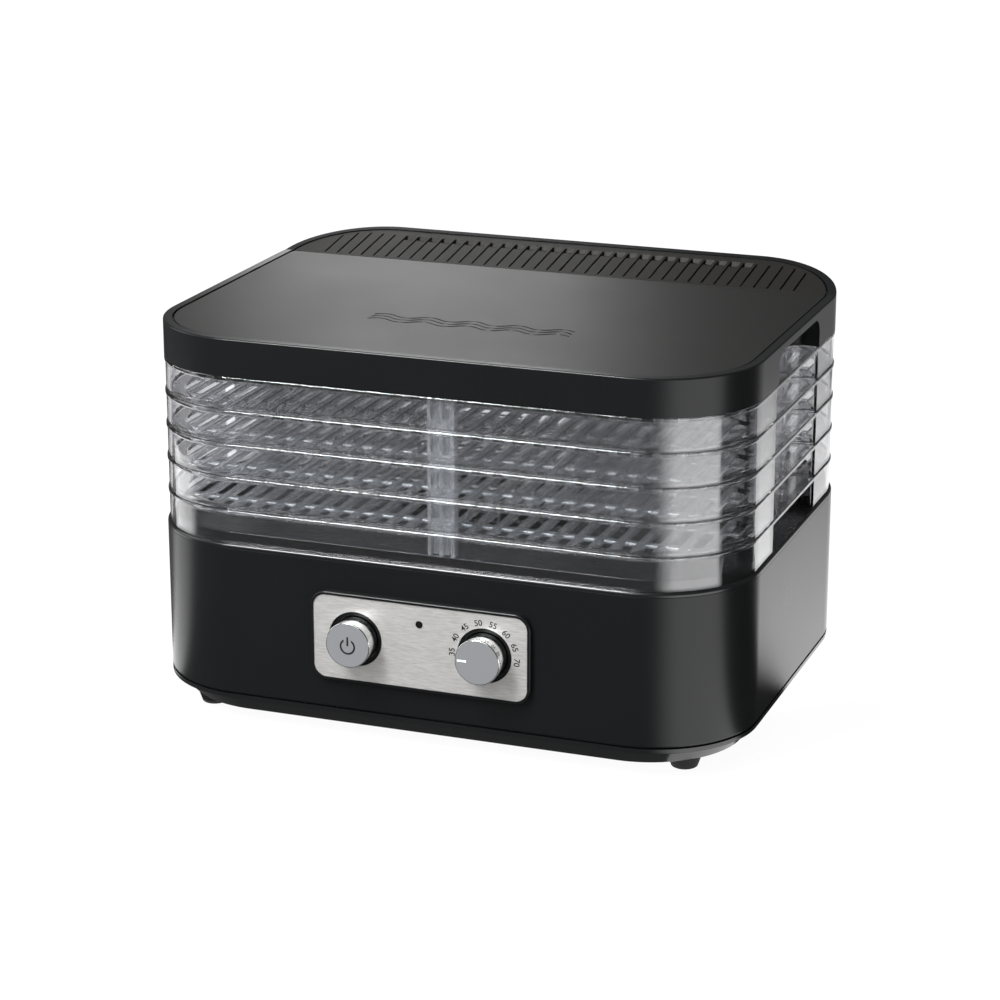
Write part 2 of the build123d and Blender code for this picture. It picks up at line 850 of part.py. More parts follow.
for name, shape in pieces.items():
    solids = shape if isinstance(shape, list) else [shape]
    solids = [solid for item in solids for solid in item.solids()]
    export_step(to_origin * Compound(children=solids), f"parts/{name}.step")
    print(name, len(solids), round(sum(solid.volume for solid in solids)))
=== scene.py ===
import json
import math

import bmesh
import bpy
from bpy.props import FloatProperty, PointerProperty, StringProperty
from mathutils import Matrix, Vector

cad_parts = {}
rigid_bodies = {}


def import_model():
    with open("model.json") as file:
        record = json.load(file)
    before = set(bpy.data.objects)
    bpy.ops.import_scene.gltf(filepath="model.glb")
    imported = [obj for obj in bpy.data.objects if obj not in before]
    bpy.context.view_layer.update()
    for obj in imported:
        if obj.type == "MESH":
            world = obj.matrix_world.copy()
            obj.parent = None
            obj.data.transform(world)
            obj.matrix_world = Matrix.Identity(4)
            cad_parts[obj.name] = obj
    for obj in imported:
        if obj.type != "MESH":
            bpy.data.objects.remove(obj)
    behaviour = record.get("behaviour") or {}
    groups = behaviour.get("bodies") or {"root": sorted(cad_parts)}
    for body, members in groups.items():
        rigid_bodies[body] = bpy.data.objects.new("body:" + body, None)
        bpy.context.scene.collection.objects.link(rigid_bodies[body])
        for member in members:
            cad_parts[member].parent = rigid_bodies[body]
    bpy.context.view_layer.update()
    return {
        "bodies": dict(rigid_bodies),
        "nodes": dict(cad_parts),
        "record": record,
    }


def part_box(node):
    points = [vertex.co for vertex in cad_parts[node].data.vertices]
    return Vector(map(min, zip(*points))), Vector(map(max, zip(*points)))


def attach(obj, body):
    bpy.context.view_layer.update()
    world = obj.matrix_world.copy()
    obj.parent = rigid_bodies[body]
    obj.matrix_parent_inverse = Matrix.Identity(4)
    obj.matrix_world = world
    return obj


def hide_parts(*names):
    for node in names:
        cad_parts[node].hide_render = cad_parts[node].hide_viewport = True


bl_info = {
    "name": "Food dehydrator",
    "version": (1, 0, 0),
    "blender": (4, 5, 0),
    "location": "3D View > Sidebar > Dehydrator",
    "description": "Builds a stacked-tray food dehydrator around its packed frame",
    "category": "Add Mesh",
}

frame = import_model()

mm = 0.001
tray_count = sum(name.startswith("tray_") for name in frame["bodies"])
tiny = 0.01 * mm

# Levels and half sizes that the frame gives
lid_low, lid_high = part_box("lid_shell")
wall_low, wall_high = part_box("base_housing")
deck_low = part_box("base_deck")[0]
collar_low, collar_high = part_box("tray_collar")
plinth_low, plinth_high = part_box("bottom_plate")
bezel_low, bezel_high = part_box("control_bezel")
plate_low, plate_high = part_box("control_plate")
button_low, button_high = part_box("power_button")
dial_low, dial_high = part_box("temperature_dial")
lens_low, lens_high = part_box("indicator_lens")
skirt_low, skirt_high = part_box("tray_1_skirt")
rim_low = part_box("tray_1_rim")[0]
floor_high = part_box("tray_1_floor")[1]
panel_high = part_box("lid_panel")[1]

half_w = (lid_high.x - lid_low.x) / 2
half_d = (lid_high.y - lid_low.y) / 2
mid_y = (lid_low.y + lid_high.y) / 2
crease_y = panel_high.y
proud = (wall_high.x - wall_low.x) / 2 - half_w
tray_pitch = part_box("tray_2_skirt")[0].z - skirt_low.z
flange_low = rim_low.z
flange_high = floor_high.z
rim_top = panel_high.z + 0.3 * mm
roof_slope = (lid_high.z - rim_top) / (lid_high.y - crease_y)


# Sizes and colours

class DehydratorSizes(bpy.types.PropertyGroup):
    corner_radius: FloatProperty(
        name="Corner radius", description="Radius of the upright corners of the body",
        default=57 * mm, unit="LENGTH")
    pocket_width: FloatProperty(
        name="Pocket width", description="Length of each hand pocket along the side",
        default=84 * mm, unit="LENGTH")
    pocket_depth: FloatProperty(
        name="Pocket depth", description="How far each hand pocket reaches in",
        default=16 * mm, unit="LENGTH")
    pocket_corner: FloatProperty(
        name="Pocket corner", description="Radius of the inner corners of a hand pocket",
        default=7 * mm, unit="LENGTH")
    tray_wall: FloatProperty(
        name="Tray wall", description="Thickness of a tray's hanging wall",
        default=2 * mm, unit="LENGTH")
    bar_pitch: FloatProperty(
        name="Bar pitch", description="Distance between the long bars of a tray's floor",
        default=11.3 * mm, unit="LENGTH")
    cross_pitch: FloatProperty(
        name="Cross-bar pitch", description="Distance between the cross-bars of a tray's floor",
        default=33.5 * mm, unit="LENGTH")
    slot_pitch: FloatProperty(
        name="Slot pitch", description="Distance between the slots of the lid's vent",
        default=7.69 * mm, unit="LENGTH")


class DehydratorColours(bpy.types.PropertyGroup):
    housing: StringProperty(
        name="Housing", description="Moulded black of the base and the lid, sRGB hex", default="#0e0f10")
    lid_top: StringProperty(
        name="Lid top", description="Satin black of the lid's top panel, sRGB hex", default="#10100f")
    tray: StringProperty(
        name="Tray", description="Tint of the clear trays, sRGB hex", default="#ededef")
    plate: StringProperty(
        name="Control plate", description="Brushed steel of the control plate, sRGB hex", default="#c2c1bf")
    knob: StringProperty(
        name="Knobs", description="Silver coating of the button and the dial, sRGB hex", default="#9a9c9f")
    marking: StringProperty(
        name="Markings", description="Ink of the numbers and the symbol, sRGB hex", default="#141414")


def sizes():
    return bpy.context.scene.dehydrator_sizes


def colours():
    return bpy.context.scene.dehydrator_colours


def linear(text):
    """An sRGB hex colour as the linear RGBA that a shader takes."""
    parts = [int(text[i:i + 2], 16) / 255 for i in (1, 3, 5)]
    return [c / 12.92 if c <= 0.04045 else ((c + 0.055) / 1.055) ** 2.4 for c in parts] + [1.0]


# Modelling

def select_only(piece):
    bpy.ops.object.select_all(action="DESELECT")
    piece.select_set(True)
    bpy.context.view_layer.objects.active = piece


def settle(piece, name=None):
    """Puts a piece's place, turn and scale into its mesh."""
    select_only(piece)
    bpy.ops.object.transform_apply(location=True, rotation=True, scale=True)
    if name:
        piece.name = name
    return piece


def add_block(name, low, high):
    """A box between two corners."""
    low, high = Vector(low), Vector(high)
    bpy.ops.object.select_all(action="DESELECT")
    bpy.ops.mesh.primitive_cube_add(size=1, location=(low + high) / 2, scale=high - low)
    return settle(bpy.context.object, name)


def add_rod(name, centre, radius, length, axis, sides=64, far_radius=None):
    """A cylinder, or a cone with a far radius, about an axis."""
    turn = {"X": (0, math.pi / 2, 0), "Y": (math.pi / 2, 0, 0), "Z": (0, 0, 0)}[axis]
    bpy.ops.object.select_all(action="DESELECT")
    bpy.ops.mesh.primitive_cone_add(
        vertices=sides, radius1=radius, radius2=radius if far_radius is None else far_radius,
        depth=length, location=centre, rotation=turn)
    return settle(bpy.context.object, name)


def edit(piece, kind, test):
    """Goes into edit mode with only the vertices, edges or faces selected that pass a test."""
    select_only(piece)
    bpy.ops.object.mode_set(mode="EDIT")
    bpy.ops.mesh.select_mode(type=kind)
    bpy.ops.mesh.select_all(action="DESELECT")
    shape = bmesh.from_edit_mesh(piece.data)
    parts = {"VERT": shape.verts, "EDGE": shape.edges, "FACE": shape.faces}[kind]
    found = [part for part in parts if test(part)]
    if not found:
        raise RuntimeError(f"nothing to select on {piece.name}")
    for part in found:
        part.select_set(True)
    bmesh.update_edit_mesh(piece.data)


def done():
    bpy.ops.object.mode_set(mode="OBJECT")


def middle(part):
    return sum((v.co for v in part.verts), Vector()) / len(part.verts)


def runs_along(edge, axis):
    """Whether an edge is parallel to X (0), Y (1) or Z (2)."""
    span = edge.verts[0].co - edge.verts[1].co
    return all(abs(span[other]) < tiny for other in range(3) if other != axis)


def round_edges(piece, test, width, steps=3):
    edit(piece, "EDGE", test)
    bpy.ops.mesh.bevel(offset=width, segments=steps, profile=0.5, affect="EDGES")
    done()
    return piece


def combine(piece, other, operation):
    """Cuts, joins or intersects a piece with another, which is used up."""
    select_only(piece)
    change = piece.modifiers.new(operation.lower(), "BOOLEAN")
    change.operation = operation
    change.solver = "EXACT"
    change.object = other
    bpy.ops.object.modifier_apply(modifier=change.name)
    bpy.data.objects.remove(other)
    if not piece.data.polygons:
        raise RuntimeError(f"{piece.name} came out empty")
    return piece


def cut(piece, other):
    return combine(piece, other, "DIFFERENCE")


def join(piece, other):
    return combine(piece, other, "UNION")


def keep(piece, other):
    return combine(piece, other, "INTERSECT")


def repeat(piece, count, step):
    """A row of copies in one mesh."""
    select_only(piece)
    row = piece.modifiers.new("row", "ARRAY")
    row.count = count
    row.use_relative_offset = False
    row.use_constant_offset = True
    row.constant_offset_displace = step
    bpy.ops.object.modifier_apply(modifier=row.name)
    return piece


def soften(piece, width, steps=2, angle=40):
    """Rounds every edge sharper than an angle."""
    select_only(piece)
    edge = piece.modifiers.new("soft edge", "BEVEL")
    edge.width = width
    edge.segments = steps
    edge.limit_method = "ANGLE"
    edge.angle_limit = math.radians(angle)
    edge.harden_normals = False
    bpy.ops.object.modifier_apply(modifier=edge.name)
    return piece


def smooth(piece, angle=32):
    """Smooth shading that leaves the large faces flat."""
    select_only(piece)
    bpy.ops.object.shade_smooth_by_angle(angle=math.radians(angle))
    even = piece.modifiers.new("even faces", "WEIGHTED_NORMAL")
    even.weight = 100
    even.keep_sharp = True
    bpy.ops.object.modifier_apply(modifier=even.name)
    return piece


def copy_of(piece, name, shift=(0, 0, 0)):
    """A copy with its own mesh, moved in its mesh."""
    twin = piece.copy()
    twin.data = piece.data.copy()
    twin.name = name
    bpy.context.scene.collection.objects.link(twin)
    twin.location = shift
    return settle(twin)


def place(piece, material, body, slot, *nodes):
    """Gives a piece its material and its body, and hides the nodes that it stands for."""
    piece.data.materials.clear()
    piece.data.materials.append(material)
    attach(piece, body)
    if nodes:
        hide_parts(*nodes)
    return piece


# Shapes that the body repeats

def rounded_slab(name, low, high, radius, axis, steps=12):
    """A box with its four edges along one axis rounded."""
    slab = add_block(name, low, high)
    return round_edges(slab, lambda edge: runs_along(edge, axis), radius, steps)


def outline(name, inset, low, high):
    """The body's plan, drawn in by an inset, between two levels."""
    return rounded_slab(
        name, (-half_w + inset, mid_y - half_d + inset, low), (half_w - inset, mid_y + half_d - inset, high),
        sizes().corner_radius - inset, 2, 24)


def pocket(side, grow, low, high):
    """One hand pocket, with a margin all round."""
    reach = 20 * mm
    inner = side * (half_w - sizes().pocket_depth - grow)
    outer = side * (half_w + reach)
    width = sizes().pocket_width / 2 + grow
    block = add_block("pocket", (min(inner, outer), mid_y - width, low),
                      (max(inner, outer), mid_y + width, high))
    return round_edges(
        block, lambda edge: runs_along(edge, 2) and abs(middle(edge).x - inner) < tiny,
        sizes().pocket_corner + grow, 8)


def walled_outline(name, inset, low, high):
    """The body's plan less the hand pockets."""
    past = 1 * mm
    piece = outline(name, inset, low, high)
    for side in (-1, 1):
        cut(piece, pocket(side, inset, low - past, high + past))
    return piece


def ring(name, inset, thickness, low, high):
    """An upright band that follows the body's plan and its hand pockets."""
    past = 1 * mm
    return cut(walled_outline(name, inset, low, high),
               walled_outline("core", inset + thickness, low - past, high + past))


def roof(drop):
    """A block up to the lid's top lowered by a drop: level, then rising behind the crease."""
    reach = 2 * half_d
    level = rim_top - drop
    block = add_block("roof", (-2 * half_w, mid_y - reach, 0), (2 * half_w, mid_y + reach, level))
    edit(block, "FACE", lambda face: True)
    bpy.ops.mesh.bisect(plane_co=(0, crease_y, 0), plane_no=(0, 1, 0))
    done()
    far = mid_y + reach
    edit(block, "VERT", lambda v: v.co.z > level - tiny and v.co.y > far - tiny)
    bpy.ops.transform.translate(value=(0, 0, roof_slope * (far - crease_y)))
    done()
    return block


# Materials

def add_node(tree, kind, inputs=None, **settings):
    """A node with its settings, and its inputs each set to a value or linked to a socket."""
    node = tree.nodes.new("ShaderNode" + kind)
    for name, value in settings.items():
        setattr(node, name, value)
    for name, value in (inputs or {}).items():
        if isinstance(value, bpy.types.NodeSocket):
            tree.links.new(value, node.inputs[name])
        else:
            node.inputs[name].default_value = value
    return node


def new_material(name):
    """An empty material, and the Object coordinates that its patterns read."""
    material = bpy.data.materials.new(name)
    material.use_nodes = True
    tree = material.node_tree
    tree.nodes.clear()
    return material, tree, add_node(tree, "TexCoord").outputs["Object"]


def blend_of(tree, factor, one, other):
    """A colour that runs from one value to another with a factor."""
    mix = add_node(tree, "Mix", data_type="RGBA")
    tree.links.new(factor, mix.inputs[0])
    mix.inputs[6].default_value = one
    mix.inputs[7].default_value = other
    return mix.outputs[2]


def spread(tree, factor, low, high):
    """A number that runs from one value to another with a factor."""
    return add_node(tree, "MapRange", {"Value": factor, "To Min": low, "To Max": high}).outputs["Result"]


def shade(colour, amount):
    """A hex colour's linear value made lighter or darker."""
    return [min(1, c * amount) for c in linear(colour)[:3]] + [1.0]


def output(tree, surface):
    add_node(tree, "OutputMaterial", {"Surface": surface})


def moulded(name, colour, roughness, specular=0.5, grain=0.5, relief=0.01, vary=0.12):
    """A moulded plastic: its grain and relief in millimetres, and how far its shade drifts."""
    material, tree, at = new_material(name)
    drift = add_node(tree, "TexNoise", {"Vector": at, "Scale": 1 / (60 * mm), "Detail": 2.0})
    fine = add_node(tree, "TexNoise", {
        "Vector": at, "Scale": 1 / (grain * mm), "Detail": 3.0, "Roughness": 0.6})
    bump = add_node(tree, "Bump", {"Height": fine.outputs["Fac"], "Distance": relief * mm, "Strength": 1.0})
    tint = blend_of(tree, drift.outputs["Fac"], shade(colour, 1 - vary), shade(colour, 1 + vary))
    gloss = spread(tree, drift.outputs["Fac"], roughness * 0.92, roughness * 1.08)
    shader = add_node(tree, "BsdfPrincipled", {
        "Base Color": tint, "Roughness": gloss, "IOR": 1.53, "Specular IOR Level": specular,
        "Normal": bump.outputs["Normal"]})
    output(tree, shader.outputs["BSDF"])
    return material


def clear_styrene(name, haze, roughness):
    """Clear injection-moulded styrene in thin walls: it hardly bends what is behind it, and its polish
    mirrors the lamps. Lamps shine through it, and a haze scatters some of their light."""
    material, tree, at = new_material(name)
    waves = add_node(tree, "TexNoise", {"Vector": at, "Scale": 1 / (14 * mm), "Detail": 1.0})
    gloss = spread(tree, waves.outputs["Fac"], roughness * 0.6, roughness * 1.4)
    shader = add_node(tree, "BsdfPrincipled", {
        "Base Color": linear(colours().tray), "Roughness": gloss, "IOR": 1.14,
        "Transmission Weight": 1 - haze, "Coat Weight": 1.0, "Coat Roughness": roughness, "Coat IOR": 1.7})
    through = add_node(tree, "BsdfTransparent", {"Color": (0.86, 0.88, 0.89, 1.0)})
    ray = add_node(tree, "LightPath")
    mix = add_node(tree, "MixShader", {
        0: ray.outputs["Is Shadow Ray"], 1: shader.outputs["BSDF"], 2: through.outputs["BSDF"]})
    output(tree, mix.outputs["Shader"])
    return material


def brushed(name, colour, roughness, metallic=1.0, along=(9, 0.4, 0.35), contrast=0.12, anisotropy=0.6):
    """A brushed metal: streaks with a length and a width in millimetres along each axis."""
    material, tree, at = new_material(name)
    scale = [1 / (length * mm) for length in along]
    turned = add_node(tree, "Mapping", {"Vector": at, "Scale": scale})
    streaks = add_node(tree, "TexNoise", {"Vector": turned.outputs["Vector"], "Scale": 1.0, "Detail": 4.0,
                                         "Roughness": 0.65})
    lines = spread(tree, streaks.outputs["Fac"], -1.0, 2.0)
    tint = blend_of(tree, lines, shade(colour, 1 - contrast), shade(colour, 1 + contrast))
    gloss = spread(tree, streaks.outputs["Fac"], roughness * 0.8, roughness * 1.2)
    bump = add_node(tree, "Bump", {"Height": streaks.outputs["Fac"], "Distance": 0.03 * mm, "Strength": 1.0})
    shader = add_node(tree, "BsdfPrincipled", {
        "Base Color": tint, "Metallic": metallic, "Roughness": gloss, "Anisotropic": anisotropy,
        "Normal": bump.outputs["Normal"]})
    output(tree, shader.outputs["BSDF"])
    return material


def coated(name, colour, roughness, metallic):
    """A silver coating on plastic: even flake with a faint orange peel, bright where it turns to a lamp."""
    material, tree, at = new_material(name)
    flake = add_node(tree, "TexNoise", {"Vector": at, "Scale": 1 / (0.35 * mm), "Detail": 2.0})
    peel = add_node(tree, "TexNoise", {"Vector": at, "Scale": 1 / (2.5 * mm), "Detail": 1.0})
    tint = blend_of(tree, flake.outputs["Fac"], shade(colour, 0.95), shade(colour, 1.05))
    bump = add_node(tree, "Bump", {"Height": peel.outputs["Fac"], "Distance": 0.01 * mm, "Strength": 1.0})
    shader = add_node(tree, "BsdfPrincipled", {
        "Base Color": tint, "Metallic": metallic, "Roughness": roughness, "Coat Weight": 0.3,
        "Coat Roughness": 0.12, "Normal": bump.outputs["Normal"]})
    output(tree, shader.outputs["BSDF"])
    return material


finishes = {}


def finish_of(slot):
    """The material of a slot in the record, made once."""
    c = colours()
    if slot not in finishes:
        finishes[slot] = {
            "black_abs_gloss": lambda: moulded("moulded_black_abs", c.housing, 0.28, 0.26),
            "black_abs_satin": lambda: moulded("satin_black_abs", c.housing, 0.24, 0.5, grain=0.6),
            "lid_abs": lambda: moulded("lid_black_abs", c.housing, 0.28, 0.26),
            "lid_satin": lambda: moulded("spark_eroded_black_abs", c.lid_top, 0.38, 0.45, 0.45, 0.03),
            "lid_vent": lambda: moulded("spark_eroded_warm_abs", "#171614", 0.3, 0.45, 0.45, 0.02),
            "tray_clear": lambda: clear_styrene("clear_styrene", 0.0, 0.04),
            "brushed_plate": lambda: brushed(
                "brushed_stainless_steel", c.plate, 0.36, 0.6, (6, 0.5, 0.5), 0.16),
            "knob_silver": lambda: coated("polished_aluminium", "#eceded", 0.12, 1.0),
            "mark_white": lambda: moulded("white_pad_print", "#f0f0f0", 0.45),
            "smoked_lens": lambda: moulded("smoked_polycarbonate", "#0c0c0d", 0.12, 0.5, 2.0, 0.005),
            "lamp_amber": lambda: moulded("amber_polycarbonate", "#c8701c", 0.25),
            "foot_rubber": lambda: moulded("moulded_nitrile_rubber", "#141414", 0.7, 0.35, 0.3, 0.03),
            "switch_nylon": lambda: moulded("black_glass_nylon", "#1b1b1c", 0.5, 0.4, 0.4, 0.02),
            "white_nylon": lambda: moulded("natural_nylon", "#dcdad0", 0.45),
            "fan_nylon": lambda: moulded("grey_glass_nylon", "#3a3b3c", 0.5, 0.4, 0.4, 0.02),
            "zinc_sheet": lambda: brushed(
                "zinc_plated_sheet", "#b3b5b6", 0.4, along=(6, 6, 6), anisotropy=0.0),
            "zinc_screw": lambda: brushed(
                "zinc_plated_screw", "#c2c4c6", 0.3, along=(1, 1, 1), anisotropy=0.0),
            "shaft_steel": lambda: brushed("ground_steel", "#b9babb", 0.22, along=(0.2, 0.2, 4)),
            "motor_steel": lambda: brushed("drawn_steel_can", "#9a9c9e", 0.35, along=(8, 8, 0.4)),
            "brass_pin": lambda: brushed("nickelled_brass", "#cdbf94", 0.25, along=(0.3, 3, 0.3)),
            "heater_wire": lambda: brushed("nichrome_wire", "#77716a", 0.45, along=(1, 1, 1), anisotropy=0.0),
        }[slot]()
    return finishes[slot]


# Operators, one for each group of pieces

class DEHYDRATOR_OT_stage(bpy.types.Operator):
    """Floor, lamps, reflector cards and camera"""
    bl_idname = "dehydrator.stage"
    bl_label = "Stage"

    def execute(self, context):
        build_floor()
        build_cards()
        build_lamps()
        build_camera()
        return {"FINISHED"}


def plain_surface(name, colour, roughness, glow=0.0):
    """A studio surface that glows a little of itself, as a light table does."""
    material, tree, at = new_material(name)
    grain = add_node(tree, "TexNoise", {"Vector": at, "Scale": 1 / (30 * mm), "Detail": 2.0})
    tint = blend_of(tree, grain.outputs["Fac"], shade(colour, 0.99), shade(colour, 1.01))
    shader = add_node(tree, "BsdfPrincipled", {
        "Base Color": tint, "Roughness": roughness,
        "Emission Color": (1, 1, 1, 1), "Emission Strength": glow})
    output(tree, shader.outputs["BSDF"])
    return material


def build_floor():
    """A pale glowing floor under pale air, which is dimmer where it is mirrored."""
    bpy.ops.object.select_all(action="DESELECT")
    bpy.ops.mesh.primitive_plane_add(size=16, location=(0, 0, 0))
    floor = bpy.context.object
    floor.name = "studio_floor"
    floor.data.materials.append(plain_surface("opal_light_table", "#404040", 0.9, 0.95))
    scene = bpy.context.scene
    scene.view_settings.view_transform = "Standard"
    world = bpy.data.worlds.new("studio_air")
    scene.world = world
    world.use_nodes = True
    tree = world.node_tree
    tree.nodes.clear()
    ray = add_node(tree, "LightPath")
    level = spread(tree, ray.outputs["Is Glossy Ray"], 1.0, 0.1)
    sky = add_node(tree, "Background", {"Color": (1, 1, 1, 1), "Strength": level})
    add_node(tree, "OutputWorld", {"Surface": sky.outputs["Background"]})


flag_glow = 0.12


def sector(name, centre, bearings, near, far, height, glow, far_glow=None,
           edges=(0.5, 0.5), see_through=True):
    """A flat studio card close to the floor, seen in reflections only.

    It covers the directions between two bearings, in degrees to the right of the front. Its glow changes
    to its far glow between 0.2 and 0.8 m from its centre, and falls to the flags' glow at its edges.
    """
    bpy.ops.object.select_all(action="DESELECT")
    bpy.ops.mesh.primitive_plane_add(size=2, location=(0, 0, 0))
    piece = bpy.context.object
    piece.name = name
    start, end = (math.radians(bearing) for bearing in bearings)
    corners = [(distance, turn) for distance in (near, far) for turn in (start, end)]
    for vertex, (distance, turn) in zip(piece.data.vertices, corners):
        vertex.co = (centre[0] + distance * math.sin(turn), centre[1] - distance * math.cos(turn), height)
    material, tree, at = new_material(name)
    away = add_node(tree, "VectorMath", {0: at, 1: (*centre, 0)}, operation="DISTANCE")
    level = add_node(tree, "MapRange", {
        "Value": away.outputs["Value"], "From Min": 0.2, "From Max": 0.8,
        "To Min": glow, "To Max": glow if far_glow is None else far_glow})
    offset = add_node(tree, "VectorMath", {
        0: at, 1: (1, -1, 1), 2: (-centre[0], centre[1], 0)}, operation="MULTIPLY_ADD")
    axes = add_node(tree, "SeparateXYZ", {"Vector": offset.outputs["Vector"]})
    bearing = add_node(tree, "Math", {0: axes.outputs["X"], 1: axes.outputs["Y"]}, operation="ARCTAN2")
    inside = [add_node(tree, "MapRange", {
        "Value": bearing.outputs["Value"], "From Min": side, "From Max": side + math.radians(edge)},
        interpolation_type="SMOOTHSTEP") for side, edge in ((start, edges[0]), (end, -edges[1]))]
    cover = add_node(tree, "Math", {0: inside[0].outputs["Result"], 1: inside[1].outputs["Result"]},
                     operation="MULTIPLY")
    strength = add_node(tree, "MapRange", {
        "Value": cover.outputs["Value"], "To Min": flag_glow, "To Max": level.outputs["Result"]})
    light = add_node(tree, "Emission", {"Color": (1, 1, 1, 1), "Strength": strength.outputs["Result"]})
    output(tree, light.outputs["Emission"])
    piece.data.materials.append(material)
    piece.visible_camera = False
    piece.visible_diffuse = False
    piece.visible_shadow = False
    piece.visible_transmission = see_through
    return piece


def build_cards():
    """Dark flags all round the front, and bright cards beside the two front corners and the side."""
    right = (half_w - sizes().corner_radius, mid_y - half_d + sizes().corner_radius)
    left = (-right[0], right[1])
    close = sizes().corner_radius + 26 * mm
    for number in range(4):
        start = 29 * number - 66
        sector(f"front_flag_{number}", (0, mid_y), (start, start + 29), 0, 6, 2 * mm, flag_glow)
    sector("rear_left_flag", (0, mid_y), (-180, -110), 0, 6, 2 * mm, 0.06, see_through=False)
    sector("left_flag", (0, mid_y), (-110, -66), 0, 6, 2 * mm, flag_glow)
    sector("left_card", left, (-108, -64), close, 0.55, 3 * mm, 2.0, edges=(4, 12))
    sector("corner_card", right, (14, 90), close, 4, 3 * mm, 2.6, edges=(26, 8))
    sector("corner_flag", right, (88, 144), 0, 4, 4 * mm, 0.03)
    sector("side_card", right, (144, 180), close, 5, 5 * mm, 1.7, 0.4)


def lamp(name, place_at, target, width, height, power):
    """A rectangular lamp that points at a target and is not itself in view."""
    bpy.ops.object.select_all(action="DESELECT")
    bpy.ops.object.light_add(type="AREA", location=place_at)
    light = bpy.context.object
    light.name = name
    light.data.shape = "RECTANGLE"
    light.data.size = width
    light.data.size_y = height
    light.data.energy = power
    light.rotation_euler = (Vector(target) - Vector(place_at)).to_track_quat("-Z", "Y").to_euler()
    light.visible_camera = False
    return light


def build_lamps():
    """A high softbox ahead on the left, a wide fill, and two weak panels."""
    centre = (0, mid_y, 0.12)
    lamp("high_softbox", (-0.53, -0.94, 1.37), (0, mid_y - half_d, 0.12), 0.36, 0.9, 52)
    lamp("rear_panel", (-0.69, 1.6, 0.62), (0, 0, 0.2), 0.4, 0.4, 1.3)
    lamp("front_fill", (-0.5, -1.8, 1.0), centre, 1.4, 0.8, 12)
    lamp("left_panel", (-1.3, -0.2, 0.6), centre, 0.9, 0.9, 5)


def build_camera():
    aim = Vector((0, mid_y, wall_low.z))
    offset = Vector((555.33, -1512.03, 594.63)) * mm
    bpy.ops.object.select_all(action="DESELECT")
    bpy.ops.object.camera_add(
        location=aim + offset, rotation=(math.radians(90 - 17.569), 0, math.radians(20.266)))
    camera = bpy.context.object
    camera.name = "studio_camera"
    camera.data.sensor_width = 36
    camera.data.lens = 108.29
    camera.data.clip_end = 30
    bpy.context.scene.camera = camera


class DEHYDRATOR_OT_trays(bpy.types.Operator):
    """Five clear stacking trays"""
    bl_idname = "dehydrator.trays"
    bl_label = "Trays"

    def execute(self, context):
        moulding, grille, keys = tray_moulding(), tray_grille(), tray_keys()
        ribbed = clear_styrene("ribbed_styrene", 0.05, 0.18)
        edged = clear_styrene("edged_styrene", 0.08, 0.12)
        for number in range(1, tray_count + 1):
            name = f"tray_{number}"
            lift = (0, 0, (number - 1) * tray_pitch)
            place(copy_of(moulding, f"{name}_moulding", lift), finish_of("tray_clear"), name, "tray_clear",
                  f"{name}_skirt", f"{name}_rim")
            place(copy_of(grille, f"{name}_grille", lift), ribbed, name, "tray_clear", f"{name}_floor")
            place(copy_of(keys, f"{name}_keys", lift), edged, name, "tray_clear")
        for pattern in (moulding, grille, keys):
            bpy.data.objects.remove(pattern)
        return {"FINISHED"}


flange_w = 11.1 * mm


def tray_moulding():
    """One tray's hanging wall, flange and locating rib."""
    overlap = 1 * mm
    step = half_w - skirt_high.x
    rib_inset = half_w - collar_high.x
    wall = ring("tray", step, sizes().tray_wall, skirt_low.z, flange_low + overlap)
    soften(wall, 0.35 * mm)
    flange = cut(outline("flange", 0, flange_low, flange_high),
                 walled_outline("core", flange_w, flange_low - overlap, flange_high + overlap))
    soften(flange, 0.7 * mm, 4)
    join(wall, flange)
    rib = soften(ring("rib", rib_inset, 1.5 * mm, flange_high - overlap, flange_high + 2 * mm), 0.3 * mm)
    join(wall, rib)
    return smooth(wall)


def tray_keys():
    """The keys behind the front and the rear wall."""
    parts = key_parts(-1) + key_parts(1)
    for piece in parts[1:]:
        join(parts[0], piece)
    return smooth(parts[0])


def tray_grille():
    """Long bars with raised rounded tops, and lower rounded cross-bars between them."""
    pitch = sizes().bar_pitch
    columns = 2 * int(half_w / pitch) + 1
    first = -pitch * (columns - 1) / 2
    bar_w = 4.6 * mm
    reach = 5 * mm
    bars = add_block("grille", (first - bar_w / 2, mid_y - half_d - reach, flange_low),
                     (first + bar_w / 2, mid_y + half_d + reach, flange_high))
    round_edges(bars, lambda edge: runs_along(edge, 1) and middle(edge).z > flange_low + tiny, 0.9 * mm, 3)
    repeat(bars, columns, (pitch, 0, 0))
    cross = sizes().cross_pitch
    rows = 2 * int(half_d / cross) + 1
    first = mid_y - cross * (rows - 1) / 2
    radius = flange_high - flange_low - 0.3 * mm
    rod = add_rod("cross_bars", (0, first, flange_low), radius, 2 * (half_w + reach), "X", 32)
    cut(rod, add_block("below", (-2 * half_w, first - reach, flange_low - reach),
                       (2 * half_w, first + reach, flange_low)))
    repeat(rod, rows, (0, cross, 0))
    join(bars, rod)
    return smooth(keep(bars, walled_outline("field", flange_w, flange_low - reach, flange_high + reach)))


